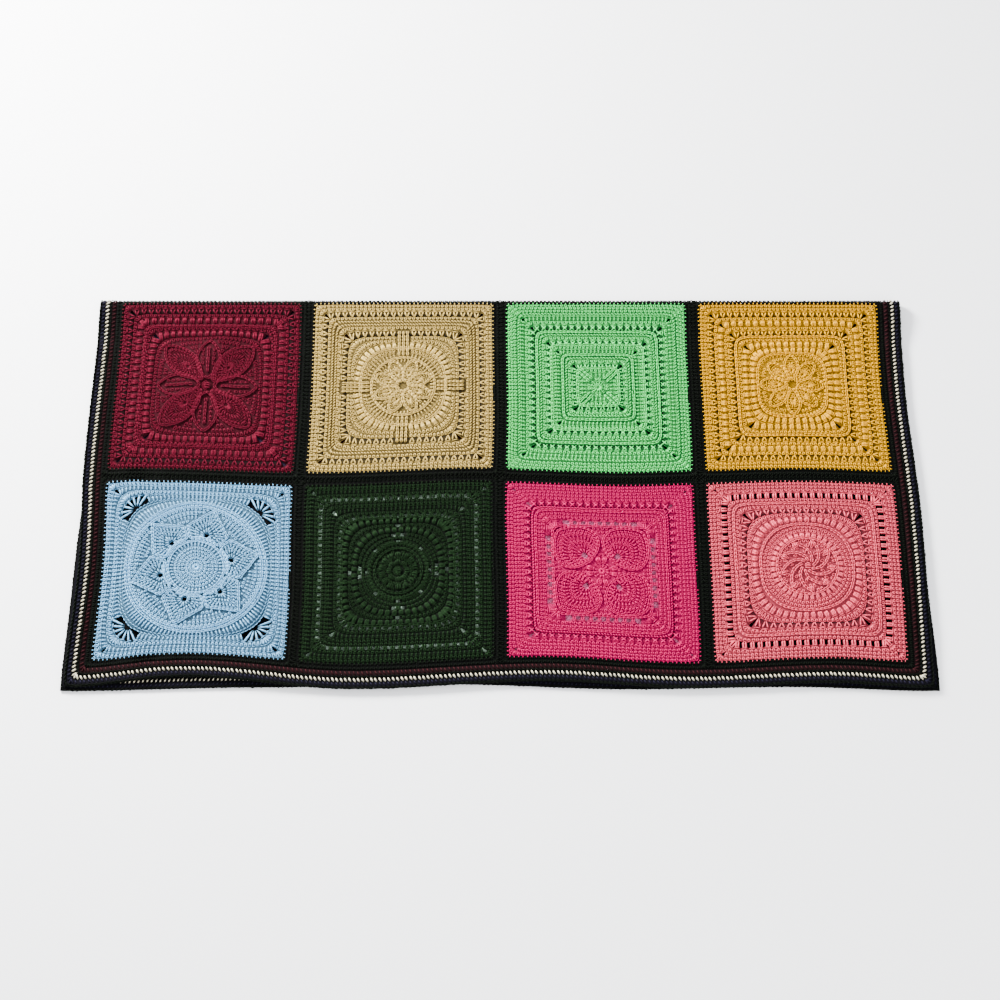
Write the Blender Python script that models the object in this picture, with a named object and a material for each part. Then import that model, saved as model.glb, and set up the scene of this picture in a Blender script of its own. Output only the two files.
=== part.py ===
"""Granny square blanket, folded once in half and lying flat.

The blanket is worked as sixteen squares. Black rounds join them, and striped rounds edge the whole.
Each piece is a flat panel, given by where it lies on the open blanket, and place() lays it on the folded one.

Flat coordinates, in metres: u runs from the left side to the right one, v from the hem of the top layer
over the fold to the hem of the layer underneath, and w is the height above the middle of the cloth,
towards its right side, which is the outside of the folded blanket.
"""
import math

import bmesh
import bpy
from mathutils import Vector

# The open blanket.
SQUARE = 0.305            # a crocheted square without its black rounds
JOINING = 0.027           # the black between two squares: two rounds of each, and the seam
FRAME = JOINING / 2       # the black round the outermost squares
EDGING = 0.0295           # the striped rounds along the whole blanket's sides
COUNT = 4                 # squares along each side
PITCH = SQUARE + JOINING
SIDE = COUNT * PITCH + 2 * EDGING

# The cloth and its fold.
CLOTH = 0.0045            # thickness
LAYER_GAP = 0.001         # air between the two layers
FOLD_RADIUS = 0.0075      # from the fold's centre to the middle of the cloth
FOLD_EASE = 0.075         # the stretch in which the top layer comes down from the fold
FOLD_START = (SIDE - math.pi * FOLD_RADIUS) / 2
FOLD_END = (SIDE + math.pi * FOLD_RADIUS) / 2
UNDER_HEIGHT = CLOTH / 2
TOP_HEIGHT = UNDER_HEIGHT + CLOTH + LAYER_GAP
CREST_HEIGHT = UNDER_HEIGHT + 2 * FOLD_RADIUS
DEPTH = FOLD_START + FOLD_RADIUS + CLOTH / 2
FOLD_Y = DEPTH / 2 - CLOTH / 2 - FOLD_RADIUS

# How finely the panels are cut.
PANEL_STEPS = 8           # stretches along one square
FOLD_STEPS = 8            # stretches round the fold
PIECE_GAP = 0.0003        # between two pieces that meet

# How far each side is drawn in from a true rectangle: place along the side, and the distance.
LEFT_PULL = [(0.0, 0.006), (0.20, 0.011), (0.40, 0.003), (0.69, 0.006), (0.95, 0.009), (1.20, 0.003), (SIDE, 0.0)]
RIGHT_PULL = [(0.0, 0.009), (0.30, 0.003), (0.52, 0.009), (0.69, 0.006), (1.00, 0.009), (SIDE, 0.0)]
TOP_HEM_PULL = [(0.0, 0.005), (0.19, 0.022), (0.46, 0.002), (0.76, 0.015), (1.00, 0.004), (1.22, 0.012), (SIDE, 0.004)]
UNDER_HEM_PULL = [(0.0, 0.0), (0.30, 0.006), (0.62, 0.011), (0.90, 0.003), (1.15, 0.007), (SIDE, 0.0)]
PULL_FADE = 3             # how soon a side's pull fades towards the middle

# Slow waves of the seams across the top layer.
WAVE_ACROSS = {"size": 0.0028, "length": 0.47, "start": 1.0}
WAVE_ALONG = {"size": 0.0034, "length": 0.55, "start": 0.6}

# Soft folds of the top layer: middle, heading in degrees, half length, half width and height.
SOFT_FOLDS = [
    {"u": 0.105, "v": 0.200, "heading": 97, "length": 0.170, "width": 0.024, "height": 0.0085},
    {"u": 0.185, "v": 0.560, "heading": 62, "length": 0.110, "width": 0.026, "height": 0.0080},
    {"u": 0.300, "v": 0.030, "heading": 20, "length": 0.120, "width": 0.050, "height": 0.0040},
    {"u": 0.640, "v": 0.330, "heading": 80, "length": 0.240, "width": 0.070, "height": 0.0035},
    {"u": 0.800, "v": 0.045, "heading": 168, "length": 0.130, "width": 0.045, "height": 0.0045},
    {"u": 0.965, "v": 0.420, "heading": 118, "length": 0.200, "width": 0.055, "height": 0.0040},
    {"u": 1.215, "v": 0.175, "heading": 140, "length": 0.150, "width": 0.105, "height": 0.0120},
    {"u": 1.190, "v": 0.560, "heading": 25, "length": 0.120, "width": 0.040, "height": 0.0050},
]
PUFF = 0.0025             # how far the middle of a square stands above its sides

YARN_ROUGHNESS = 0.9
BLACK = (0.008, 0.009, 0.008)
STRIPES = (0.075, 0.050, 0.060)

# Rows from the hem of the top layer over the fold; the last two lie underneath. Colours are linear.
SQUARES = [
    [("light_blue", (0.34, 0.50, 0.66)), ("dark_green", (0.015, 0.042, 0.018)),
     ("hot_pink", (0.74, 0.010, 0.125)), ("salmon", (0.72, 0.17, 0.18))],
    [("maroon", (0.17, 0.012, 0.025)), ("tan", (0.52, 0.38, 0.19)),
     ("mint", (0.20, 0.49, 0.20)), ("mustard", (0.68, 0.34, 0.020))],
    [("lilac", (0.36, 0.22, 0.50)), ("rust", (0.42, 0.075, 0.015)),
     ("teal", (0.010, 0.16, 0.17)), ("sage", (0.24, 0.30, 0.17))],
    [("navy", (0.012, 0.022, 0.075)), ("cream", (0.76, 0.69, 0.52)),
     ("lemon", (0.80, 0.66, 0.22)), ("grey", (0.22, 0.22, 0.23))],
]


def smooth(share):
    """Ease from 0 to 1."""
    share = min(max(share, 0.0), 1.0)
    return share * share * (3 - 2 * share)


def along(table, at):
    """Read a table of places and values, eased between its rows."""
    for (start, low), (end, high) in zip(table, table[1:]):
        if at <= end:
            return low + (high - low) * smooth((at - start) / (end - start))
    return table[-1][1]


def section(v):
    """Middle of the cloth in the side view, and the direction of its right side."""
    if v <= FOLD_START:
        left_to_fold = FOLD_START - v
        drop = smooth(1 - left_to_fold / FOLD_EASE)
        height = TOP_HEIGHT + (CREST_HEIGHT - TOP_HEIGHT) * drop
        return FOLD_Y - left_to_fold, height, 0.0, 1.0
    if v < FOLD_END:
        angle = (v - FOLD_START) / FOLD_RADIUS
        out_y, out_z = math.sin(angle), math.cos(angle)
        return FOLD_Y + FOLD_RADIUS * out_y, UNDER_HEIGHT + FOLD_RADIUS * (1 + out_z), out_y, out_z
    return FOLD_Y - (v - FOLD_END), UNDER_HEIGHT, 0.0, -1.0


def drawn_in(u, v):
    """How far a point lies from its place on a true rectangle, in plan."""
    share = u / SIDE
    across = along(LEFT_PULL, v) * (1 - share) ** PULL_FADE - along(RIGHT_PULL, v) * share ** PULL_FADE
    if v >= FOLD_END:
        return across, along(UNDER_HEM_PULL, u) * ((v - FOLD_END) / (SIDE - FOLD_END)) ** PULL_FADE
    if v >= FOLD_START:
        return across, 0.0
    forward = v / FOLD_START
    fade = math.sin(math.pi * forward)
    across += WAVE_ACROSS["size"] * fade * math.sin(math.pi * share) * wave(WAVE_ACROSS, v)
    back = along(TOP_HEM_PULL, u) * (1 - forward) ** PULL_FADE + WAVE_ALONG["size"] * fade * wave(WAVE_ALONG, u)
    return across, back


def wave(shape, at):
    """A sine of a given length and start."""
    return math.sin(2 * math.pi * at / shape["length"] + shape["start"])


def puff(u, v):
    """The crown of the square that holds a point."""
    inside = [((at - EDGING) % PITCH - FRAME) / SQUARE for at in (u, v)]
    if not all(0 < share < 1 for share in inside) or not EDGING < u < SIDE - EDGING:
        return 0.0
    return PUFF * math.sin(math.pi * inside[0]) * math.sin(math.pi * inside[1])


def lift(u, v):
    """How far the top layer stands above its lowest place."""
    if v >= FOLD_START:
        return 0.0
    total = puff(u, v)
    for fold in SOFT_FOLDS:
        heading = math.radians(fold["heading"])
        du, dv = u - fold["u"], v - fold["v"]
        ahead = (du * math.cos(heading) + dv * math.sin(heading)) / fold["length"]
        aside = (dv * math.cos(heading) - du * math.sin(heading)) / fold["width"]
        total += fold["height"] * math.exp(-ahead ** 2 - aside ** 2)
    return total * smooth((FOLD_START - v) / FOLD_EASE)


def place(u, v, w):
    """The point of the folded blanket for a point of the open one."""
    y, z, out_y, out_z = section(v)
    across, back = drawn_in(u, v)
    return Vector((u - SIDE / 2 + across, y + back + out_y * w, z + lift(u, v) + out_z * w))


def square_span(index):
    """Where a row or column of squares starts and ends."""
    start = EDGING + FRAME + index * PITCH
    return start, start + SQUARE


def joining_span(index):
    """Where a black strip starts and ends: 0 and COUNT are the outermost ones."""
    start = EDGING if index == 0 else square_span(index - 1)[1]
    end = SIDE - EDGING if index == COUNT else square_span(index)[0]
    return start, end


def panel_lines():
    """The lines on which every panel is cut, so that neighbours share their facets."""
    lines = [0.0, EDGING, SIDE - EDGING, SIDE]
    for index in range(COUNT):
        start, end = square_span(index)
        lines += [start + (end - start) * step / PANEL_STEPS for step in range(PANEL_STEPS + 1)]
    return sorted(lines)


U_LINES = panel_lines()
FOLD_LINES = [FOLD_START + (FOLD_END - FOLD_START) * step / FOLD_STEPS for step in range(FOLD_STEPS + 1)]
V_LINES = sorted(panel_lines() + FOLD_LINES)


def cuts(span, lines):
    """The lines inside a span, and its two ends, drawn back where another piece meets them."""
    start, end = span
    first = start + PIECE_GAP / 2 if start > 0 else start
    last = end - PIECE_GAP / 2 if end < SIDE else end
    return [first] + [line for line in lines if start + PIECE_GAP < line < end - PIECE_GAP] + [last]


def yarn_material(name, colour):
    """A matt yarn colour."""
    material = bpy.data.materials.new(name)
    material.use_nodes = True
    shader = material.node_tree.nodes["Principled BSDF"]
    shader.inputs["Base Color"].default_value = (*colour, 1.0)
    shader.inputs["Roughness"].default_value = YARN_ROUGHNESS
    shader.inputs["Metallic"].default_value = 0.0
    return material


def add_panel(name, u_span, v_span, colour):
    """One closed panel of cloth, cut on the panel lines and laid on the folded blanket."""
    us, vs = cuts(u_span, U_LINES), cuts(v_span, V_LINES)
    shape = bmesh.new()
    right, wrong = [
        [[shape.verts.new(place(u, v, w)) for u in us] for v in vs] for w in (CLOTH / 2, -CLOTH / 2)
    ]
    for j in range(len(vs) - 1):
        for i in range(len(us) - 1):
            shape.faces.new((right[j][i], right[j][i + 1], right[j + 1][i + 1], right[j + 1][i]))
            shape.faces.new((wrong[j][i], wrong[j + 1][i], wrong[j + 1][i + 1], wrong[j][i + 1]))
    for outer, inner in zip(rim(right), rim(wrong)):
        shape.faces.new((outer[1], outer[0], inner[0], inner[1]))
    bmesh.ops.recalc_face_normals(shape, faces=shape.faces)
    mesh = bpy.data.meshes.new(name)
    shape.to_mesh(mesh)
    shape.free()
    mesh.materials.append(yarn_material(name, colour))
    bpy.context.scene.collection.objects.link(bpy.data.objects.new(name, mesh))


def rim(rows):
    """The edges round a grid of vertices, as pairs in order."""
    loop = rows[0][:-1] + [row[-1] for row in rows[:-1]] + rows[-1][:0:-1] + [row[0] for row in rows[:0:-1]]
    return list(zip(loop, loop[1:] + loop[:1]))


def add_squares():
    """The coloured squares."""
    for row, colours in enumerate(SQUARES):
        for column, (name, colour) in enumerate(colours):
            add_panel(f"square_{name}", square_span(column), square_span(row), colour)


def add_joining():
    """The black strips: one along each row's side, and a short one at each square's side."""
    field = (EDGING, SIDE - EDGING)
    for line, name in enumerate(("top_hem", "top", "fold", "under", "under_hem")):
        add_panel(f"joining_{name}", field, joining_span(line), BLACK)
    for row in range(COUNT):
        for line in range(COUNT + 1):
            add_panel(f"joining_row{row + 1}_{line + 1}", joining_span(line), square_span(row), BLACK)


def add_edging():
    """The striped rounds: a strip along each hem, and one round the fold on each side."""
    whole, between = (0.0, SIDE), (EDGING, SIDE - EDGING)
    before, after = (0.0, EDGING), (SIDE - EDGING, SIDE)
    add_panel("edging_top_hem", whole, before, STRIPES)
    add_panel("edging_under_hem", whole, after, STRIPES)
    add_panel("edging_left", before, between, STRIPES)
    add_panel("edging_right", after, between, STRIPES)


for leftover in list(bpy.data.objects):
    bpy.data.objects.remove(leftover)
add_squares()
add_joining()
add_edging()
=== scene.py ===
"""The looks of the granny square blanket: its rounds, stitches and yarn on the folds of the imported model.

Every stitch is worked out on the open blanket, in the flat coordinates that part.py uses too, and place()
lays it on the folded one: u runs from the left side to the right one, v from the top layer's hem over
the fold to the hem underneath, and w is the height above the middle of the cloth, towards its right side.
"""
import functools
import math
from collections import namedtuple

import bpy
import numpy as np
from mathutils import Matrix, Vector


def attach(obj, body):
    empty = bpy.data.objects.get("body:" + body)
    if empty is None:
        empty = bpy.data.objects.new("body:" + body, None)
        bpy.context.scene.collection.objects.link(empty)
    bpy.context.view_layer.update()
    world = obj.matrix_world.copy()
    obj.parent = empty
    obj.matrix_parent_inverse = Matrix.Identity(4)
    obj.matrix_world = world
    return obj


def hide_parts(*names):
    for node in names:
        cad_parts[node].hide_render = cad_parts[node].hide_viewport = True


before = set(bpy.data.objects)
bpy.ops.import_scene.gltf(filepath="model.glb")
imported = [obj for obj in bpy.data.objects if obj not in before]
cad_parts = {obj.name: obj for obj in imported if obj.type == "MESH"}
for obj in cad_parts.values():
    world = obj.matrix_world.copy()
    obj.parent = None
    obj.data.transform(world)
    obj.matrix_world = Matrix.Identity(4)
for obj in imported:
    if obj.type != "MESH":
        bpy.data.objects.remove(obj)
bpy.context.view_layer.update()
BODY = "root"
MM = 0.001

# The open blanket, in metres, as in the model.
SQUARE = 0.305
JOINING = 0.027
FRAME = JOINING / 2
EDGING = 0.0295
COUNT = 4
PITCH = SQUARE + JOINING
SIDE = COUNT * PITCH + 2 * EDGING

# The cloth and its fold, as in the model.
CLOTH = 0.0045
LAYER_GAP = 0.001
FOLD_RADIUS = 0.0075
FOLD_EASE = 0.075
FOLD_START = (SIDE - math.pi * FOLD_RADIUS) / 2
FOLD_END = (SIDE + math.pi * FOLD_RADIUS) / 2
UNDER_HEIGHT = CLOTH / 2
TOP_HEIGHT = UNDER_HEIGHT + CLOTH + LAYER_GAP
CREST_HEIGHT = UNDER_HEIGHT + 2 * FOLD_RADIUS
DEPTH = FOLD_START + FOLD_RADIUS + CLOTH / 2
FOLD_Y = DEPTH / 2 - CLOTH / 2 - FOLD_RADIUS

# How far each side is drawn in: place along the side, and the distance.
LEFT_PULL = [
    (0, 0.006), (0.2, 0.011), (0.4, 0.003), (0.69, 0.006), (0.95, 0.009), (1.2, 0.003), (SIDE, 0),
]
RIGHT_PULL = [(0, 0.009), (0.3, 0.003), (0.52, 0.009), (0.69, 0.006), (1, 0.009), (SIDE, 0)]
TOP_HEM_PULL = [
    (0, 0.005), (0.19, 0.022), (0.46, 0.002), (0.76, 0.015), (1, 0.004), (1.22, 0.012), (SIDE, 0.004),
]
UNDER_HEM_PULL = [(0, 0), (0.3, 0.006), (0.62, 0.011), (0.9, 0.003), (1.15, 0.007), (SIDE, 0)]
PULL_FADE = 3             # a higher power keeps it nearer to the side
Wave = namedtuple("Wave", "size length start")          # start in radians
WAVE_ACROSS = Wave(0.0028, 0.47, 1.0)
WAVE_ALONG = Wave(0.0034, 0.55, 0.6)

# Soft folds of the top layer: middle, heading in degrees, half length, half width and height.
SoftFold = namedtuple("SoftFold", "u v heading length width height")
SOFT_FOLDS = [
    SoftFold(0.105, 0.2, 97, 0.17, 0.024, 0.0085), SoftFold(0.185, 0.56, 62, 0.11, 0.026, 0.008),
    SoftFold(0.3, 0.03, 20, 0.12, 0.05, 0.004), SoftFold(0.64, 0.33, 80, 0.24, 0.07, 0.0035),
    SoftFold(0.8, 0.045, 168, 0.13, 0.045, 0.0045), SoftFold(0.965, 0.42, 118, 0.2, 0.055, 0.004),
    SoftFold(1.215, 0.175, 140, 0.15, 0.105, 0.012), SoftFold(1.19, 0.56, 25, 0.12, 0.04, 0.005),
]
PUFF = 0.0025             # how much higher the middle of a top square stands than its sides


# ----------------------- from the open blanket to the folded one

def smooth(share):
    """Ease from 0 to 1."""
    share = np.clip(share, 0.0, 1.0)
    return share * share * (3 - 2 * share)


def along(table, at):
    """Read a table of places and values, eased between its rows."""
    places, values = np.array(table).T
    row = np.clip(np.searchsorted(places, at) - 1, 0, len(places) - 2)
    share = smooth((at - places[row]) / (places[row + 1] - places[row]))
    return values[row] + (values[row + 1] - values[row]) * share


def wave(shape, at):
    """A sine of a given length and start."""
    return np.sin(2 * math.pi * at / shape.length + shape.start)


def drawn_in(u, v):
    """How far points lie from their places on a true rectangle, in plan."""
    share = u / SIDE
    across = along(LEFT_PULL, v) * (1 - share) ** PULL_FADE - along(RIGHT_PULL, v) * share ** PULL_FADE
    forward = np.clip(v / FOLD_START, 0, 1)
    under = np.clip((v - FOLD_END) / (SIDE - FOLD_END), 0, 1)
    fade = np.sin(math.pi * forward)
    across += WAVE_ACROSS.size * fade * np.sin(math.pi * share) * wave(WAVE_ACROSS, v)
    back = along(TOP_HEM_PULL, u) * (1 - forward) ** PULL_FADE
    back += WAVE_ALONG.size * fade * wave(WAVE_ALONG, u)
    return across, back + along(UNDER_HEM_PULL, u) * under ** PULL_FADE


def lift(u, v):
    """How far the top layer stands above its lowest place."""
    shares = [((at - EDGING) % PITCH - FRAME) / SQUARE for at in (u, v)]
    inside = (u > EDGING) & (u < SIDE - EDGING)
    total = np.where(inside, PUFF, 0.0)
    for share in shares:
        total = total * np.sin(math.pi * np.clip(share, 0, 1))
    for fold in SOFT_FOLDS:
        heading = math.radians(fold.heading)
        du, dv = u - fold.u, v - fold.v
        ahead = (du * math.cos(heading) + dv * math.sin(heading)) / fold.length
        aside = (dv * math.cos(heading) - du * math.sin(heading)) / fold.width
        total += fold.height * np.exp(-ahead ** 2 - aside ** 2)
    return total * smooth((FOLD_START - v) / FOLD_EASE)


def place(flat):
    """Points of the folded blanket for points (u, v, w) of the open one."""
    u, v, w = flat.T
    angle = np.clip((v - FOLD_START) / FOLD_RADIUS, 0, math.pi)
    out_y, out_z = np.sin(angle), np.cos(angle)
    before = np.maximum(FOLD_START - v, 0)
    after = np.maximum(v - FOLD_END, 0)
    drop = (CREST_HEIGHT - TOP_HEIGHT) * (1 - smooth(1 - before / FOLD_EASE))
    across, back = drawn_in(u, v)
    x = u - SIDE / 2 + across
    y = FOLD_Y - before - after + FOLD_RADIUS * out_y + back + out_y * w
    z = UNDER_HEIGHT + FOLD_RADIUS * (1 + out_z) - drop + lift(u, v) + out_z * w
    return np.stack([x, y, z], axis=1)


# ----------------------- outlines of rounds

LOOP_STEPS = 1440
CIRCLE = 2                # the shape of a round outline. Higher ones are ever more square.
UPRIGHT = 10              # from here on, stitches stand square to the sides and fan out at the corners
SHARP = 1000              # true corners


@functools.lru_cache(maxsize=None)
def unit_loop(shape):
    """A closed outline with a half width of 1, and the distance along it."""
    angle = np.linspace(0, 2 * math.pi, LOOP_STEPS + 1)
    ray = np.stack([np.cos(angle), np.sin(angle)], axis=1)
    reach = (np.abs(ray) ** shape).sum(axis=1) ** (-1 / shape)
    points = ray * reach[:, None]
    return points, run_along(points)


def run_along(points):
    """The distance along a line at each of its points."""
    steps = np.linalg.norm(np.diff(points, axis=0), axis=1)
    return np.concatenate([[0], np.cumsum(steps)])


def between(at, run, points):
    """Places of a line at distances along it."""
    return np.stack([np.interp(at, run, points[:, k]) for k in (0, 1)], axis=-1)


class Loop:
    """The outline on which a round starts or ends, about the middle of its square."""

    def __init__(self, reach, shape):
        self.reach, self.shape = reach, shape
        self.points, self.run = unit_loop(shape)
        self.length = self.run[-1] * reach
        self.half = self.length / 8         # half of one side

    def at(self, run):
        """Points at distances along the outline, counted from the middle of its right side."""
        share = np.mod(run / self.length, 1) * self.run[-1]
        return self.reach * between(share, self.run, self.points)


def stations(inner, outer, run):
    """Where stitches start on a round's inner outline, for their places along its outer one."""
    side = np.round(run / (2 * outer.half))
    from_middle = run - side * 2 * outer.half
    upright = np.clip((outer.shape - CIRCLE) / (UPRIGHT - CIRCLE), 0, 1)
    away = np.abs(from_middle)
    scaled = away * inner.half / outer.half
    kept = np.minimum(away, inner.half)
    start = side * 2 * inner.half + np.sign(from_middle) * ((1 - upright) * scaled + upright * kept)
    return inner.at(start), outer.at(run)


def evenly(outer, pitch):
    """Places of equal stitches along an outline: the same odd number on every quarter, one on each corner."""
    pairs = max(1, round((outer.length / (4 * pitch) - 1) / 2))
    count = 4 * (2 * pairs + 1)
    return (np.arange(count) + 0.5) / count * outer.length


# ----------------------- strands of yarn

UPWARD = np.array([0.0, 0.0, 1.0])
TINY = 1e-9               # keeps divisions away from zero
SIDES = 3                 # of a strand's cross-section, which has one edge upwards
FIRST_EDGE = 0.25         # that one's place around the strand, in turns
BOTTOM_SIDE = 1
TOP_TONE = 1.0            # a strand's painted shade on its crest, on its flanks and where it dives into the cloth, darker where shade falls
FLANK_PAINTED_SHADE = 0.36
END_PAINTED_SHADE = 0.26
TONE_SPREAD = 0.07        # how far one strand's tone differs from the next one's
PAINTED_PATCHY_LIGHT = 0.5       # and on the wrong sides that show through holes, where the spread is painted patchy light and shade
LEAST_TONE = 0.1          # no strand's tone is less than this share of the usual one
BASE_PAINTED_SHADE = 0.12          # the cloth between the strands is painted dark, a painted shade of the strands over it
BACK_TONE = 1.0           # but not on the wrong side
CLOTH_FRONT = 0.9         # both sides of the cloth, in millimetres from its middle
CLOTH_BACK = -1.9
YARN_TWIST = 0.006        # length of yarn in which its plies turn once
LOOSE = np.array([0.25, 0.25, 0.14]) * MM     # how far strands stray from their places
ROOM_TAKEN = 0.9          # of the air under the top layer's crowned squares, by a full cloth underneath
MOST_ROOM = 0.0024


@functools.lru_cache(maxsize=None)
def tube_faces(rings):
    """Triangles of a strand pointed at both ends, and each corner's place around and along it."""
    faces, corners = [], []
    last, spans = 1 + rings * SIDES, rings + 1
    for i in [BOTTOM_SIDE] + [side for side in range(SIDES) if side != BOTTOM_SIDE]:
        j = (i + 1) % SIDES
        left, middle, right = i / SIDES, (i + 0.5) / SIDES, (i + 1) / SIDES
        faces += [(0, 1 + j, 1 + i), (last, last - SIDES + i, last - SIDES + j)]
        corners += [((middle, 0), (right, 1 / spans), (left, 1 / spans))]
        corners += [((middle, 1), (left, rings / spans), (right, rings / spans))]
        for number in range(1, rings):
            low, high = 1 + (number - 1) * SIDES, 1 + number * SIDES
            here, there = number / spans, (number + 1) / spans
            faces += [(low + i, low + j, high + j), (low + i, high + j, high + i)]
            corners += [((left, here), (right, here), (right, there))]
            corners += [((left, here), (right, there), (left, there))]
    return np.array(faces), np.array(corners)


def tube_points(path, radius):
    """Both ends of each strand, and a ring about every place between them."""
    ahead = np.gradient(path, axis=1)
    ahead /= np.linalg.norm(ahead, axis=2, keepdims=True) + TINY
    aside = np.cross(ahead, UPWARD)
    aside /= np.linalg.norm(aside, axis=2, keepdims=True) + TINY
    upward = np.cross(aside, ahead)
    turn = 2 * math.pi * (np.arange(SIDES) / SIDES + FIRST_EDGE)
    spokes = np.cos(turn)[:, None] * aside[:, 1:-1, None] + np.sin(turn)[:, None] * upward[:, 1:-1, None]
    rings = path[:, 1:-1, None] + radius[:, 1:-1, None, None] * spokes
    return np.concatenate([path[:, :1], rings.reshape(len(path), -1, 3), path[:, -1:]], axis=1)


def quads(a, b, c, d):
    """Two triangles for each quad."""
    return [np.stack([a, b, c], axis=1), np.stack([a, c, d], axis=1)]


def band_faces(count, steps, closed, hub):
    """Triangles of a band: those of its wrong side and its rims, and those of its right side."""
    half = count * steps
    i = np.arange(steps if closed else steps - 1)
    j = (i + 1) % steps
    faces, tops = [], []
    for row in range(count - 1):
        near, far = row * steps, (row + 1) * steps
        faces += quads(near + i, near + j, far + j, far + i)
        tops += quads(half + near + i, half + far + i, half + far + j, half + near + j)
        if not closed:
            a, b = np.array([near]), np.array([far])
            faces += quads(a, b, half + b, half + a)
            faces += quads(a + steps - 1, half + a + steps - 1, half + b + steps - 1, b + steps - 1)
    rim = half - steps
    faces += quads(half + rim + i, rim + i, rim + j, half + rim + j)
    if hub:
        faces += [np.stack([np.full(steps, 2 * half), j, i], axis=1)]
        tops += [np.stack([np.full(steps, 2 * half + 1), half + i, half + j], axis=1)]
    else:
        faces += quads(half + i, half + j, j, i)
    return np.concatenate(faces), np.concatenate(tops)


def mesh_of(name, points, faces, slots, tones, maps, materials):
    """A smooth mesh of triangles, with a slot for each, a painted shade varied at random for each point, and
    its maps.
    """
    mesh = bpy.data.meshes.new(name)
    mesh.vertices.add(len(points))
    mesh.vertices.foreach_set("co", points.astype(np.float32).ravel())
    mesh.loops.add(faces.size)
    mesh.loops.foreach_set("vertex_index", faces.ravel())
    mesh.polygons.add(len(faces))
    mesh.polygons.foreach_set("loop_start", np.arange(0, faces.size, 3, dtype=np.int32))
    mesh.polygons.foreach_set("use_smooth", np.ones(len(faces), dtype=bool))
    mesh.polygons.foreach_set("material_index", slots.astype(np.int32))
    # Painted shade for each point, with small random differences: the material darkens the yarn's colour by
    # it.
    tone = mesh.attributes.new("tone", "FLOAT", "POINT")
    tone.data.foreach_set("value", tones.astype(np.float32))
    for title, values in maps.items():
        layer = mesh.uv_layers.new(name=title)
        layer.data.foreach_set("uv", values.astype(np.float32).ravel())
    for material in materials:
        mesh.materials.append(material)
    mesh.update()
    mesh.validate()
    return mesh


def add_object(name, data):
    """A new object in the scene."""
    thing = bpy.data.objects.new(name, data)
    bpy.context.scene.collection.objects.link(thing)
    return thing


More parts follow.
